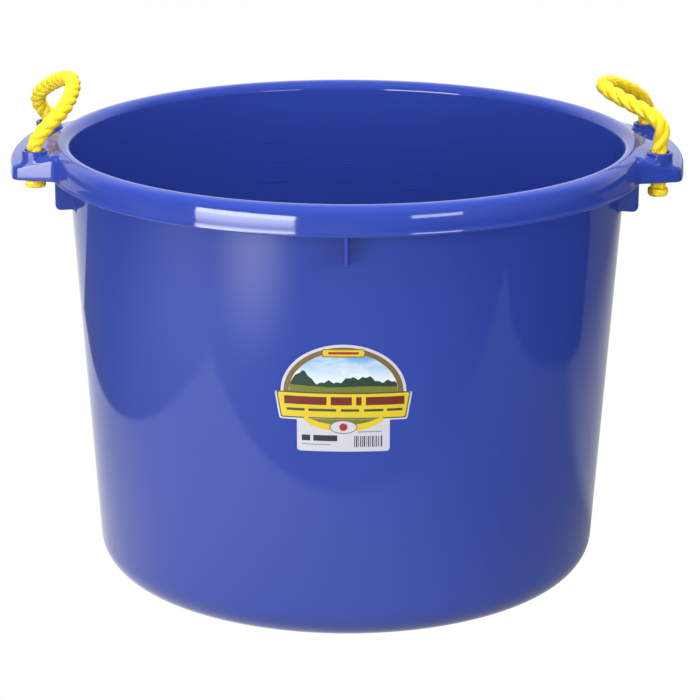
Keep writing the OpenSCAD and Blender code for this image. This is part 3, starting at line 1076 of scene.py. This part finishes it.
class Glow(Nodes):
    """A stage surface that shines though it is no lamp: plain white to the camera, and uneven in
    reflections, where its levels are painted light.
    """

    def __init__(self, name):
        self.material = bpy.data.materials.new(name)
        self.material.use_nodes = True
        super().__init__(self.material.node_tree)
        self.tree.nodes.clear()
        self.where = self.node("ShaderNodeTexCoord").outputs["Object"]
        parts = self.split(self.where)
        self.x, self.y = parts["X"], parts["Y"]

    def spot(self, centre, radius, level):
        """A painted pool of light: a round patch that is brightest at its centre."""
        away = self.node("ShaderNodeVectorMath", {0: self.where, 1: (*centre, 0)}, operation="DISTANCE")
        return self.fade(away.outputs["Value"], 0, radius, level, 0)

    def finish(self, level, bounce):
        """Mirror reflections see the level, soft bounces a share of it, and the camera white."""
        path = self.node("ShaderNodeLightPath").outputs
        soft = self.math("MULTIPLY", level, bounce)
        lit = self.node("ShaderNodeMix", {"Factor": path["Is Glossy Ray"], "A": soft, "B": level})
        seen = self.node("ShaderNodeMix", {"Factor": path["Is Camera Ray"], "A": lit.outputs["Result"],
                                           "B": 1.0})
        shine = self.node("ShaderNodeEmission", {"Strength": seen.outputs["Result"]})
        self.node("ShaderNodeOutputMaterial", {"Surface": shine.outputs[0]})
        return self.material


def table_glow():
    """The white table, with painted light in its glow: brightest on the left near the box, and a painted
    patch of light again behind the tub.
    """
    g = Glow("table_white_painted_glow")
    # Painted light: the table's glow is brightest on the left near the box and fades to the right and to
    # the back
    across = g.fade(g.x, -0.42, 0.46, 1.5, 0.36)
    along = g.fade(g.y, -0.45, 0.2, 1.0, 0.62)
    front = g.math("MULTIPLY", across, along)
    # Painted light: a second patch of glow behind the tub, fading to the right
    back = g.math("MULTIPLY", g.fade(g.y, -0.02, 0.14, 0.0, 0.58), g.fade(g.x, 0.5, 1.05, 1.0, 0.1))
    return g.finish(g.math("MAXIMUM", front, back), BOUNCE)


def floor_glow():
    """The dim room beyond the table, its glow painted dimmer to the right and to the back, with painted
    pools of light spilt under the left box.
    """
    g = Glow("floor_white_painted_glow")
    # Painted light: the room's glow fades to the right and to the back
    across = g.fade(g.x, -0.1, 1.0, 0.5, 0.04)
    along = g.fade(g.y, -0.55, -0.1, 1.0, 0.35)
    room = g.math("MULTIPLY", across, along)
    # Painted pools of light: two glowing spots on the floor under the left box
    painted_spill = g.math("ADD", g.spot((-0.85, -0.45), 0.75, 0.7), g.spot((-0.62, -0.92), 0.36, 2.6))
    return g.finish(g.math("ADD", room, painted_spill), BOUNCE)


def add_panel(name, corners, material):
    """A flat stage piece from its corner points, in metres."""
    mesh = bpy.data.meshes.new(name)
    mesh.from_pydata(corners, [], [tuple(range(len(corners)))])
    mesh.materials.append(material)
    new_object(name, mesh)


def softbox(name, where, towards, width, height, radiance, mirrored=True, fill=True):
    """A rectangular light that shows in reflections, lights the surface softly, or both."""
    data = bpy.data.lights.new(name, "AREA")
    data.shape = "RECTANGLE"
    data.size = width
    data.size_y = height
    data.energy = radiance * math.pi * width * height
    made = new_object(name, data)
    made.location = where
    made.rotation_euler = (Vector(towards) - Vector(where)).to_track_quat("-Z", "Y").to_euler()
    made.visible_camera = False
    made.visible_glossy = mirrored
    made.visible_diffuse = fill


def add_room(dim, bright):
    """Surroundings that are dim in front of the tub, bright behind it and white to the camera."""
    world = bpy.data.worlds.new("room")
    bpy.context.scene.world = world
    world.use_nodes = True
    room = Nodes(world.node_tree)
    towards = room.node("ShaderNodeTexCoord").outputs["Generated"]
    level = room.fade(room.split(towards)["Y"], 0.15, 0.65, dim, bright)
    seen = room.node("ShaderNodeLightPath").outputs["Is Camera Ray"]
    white = room.node("ShaderNodeMix", {"Factor": seen, "A": level, "B": 1.0})
    background = room.tree.nodes["Background"].inputs
    background["Color"].default_value = (1, 1, 1, 1)
    room.tree.links.new(white.outputs["Result"], background["Strength"])


def add_studio():
    """A white table in a dim room: a tall box on the left, a flat one on the right, soft fills."""
    add_panel("table", [(x, y, 0.0) for x, y in TABLE], table_glow())
    add_panel("floor", [(x, y, -0.002) for x, y in FLOOR], floor_glow())
    for low, high, radiance in LEFT_BANDS:
        middle = (low + high) / 2
        softbox("left_box", (-0.845, -1.215, middle), (-0.08, -0.22, middle), 0.95, high - low, radiance,
                fill=False)
    softbox("right_box", (0.85, -1.41, 0.63), (0, 0, 0.38), 0.52, 0.14, 9, fill=False)
    for name, where, towards, width, height, radiance in FILLS:
        softbox(name, where, towards, width, height, radiance, mirrored=False)
    add_room(0.2, 1.0)


add_camera()
add_ropes()
add_tub()
add_label()
add_studio()
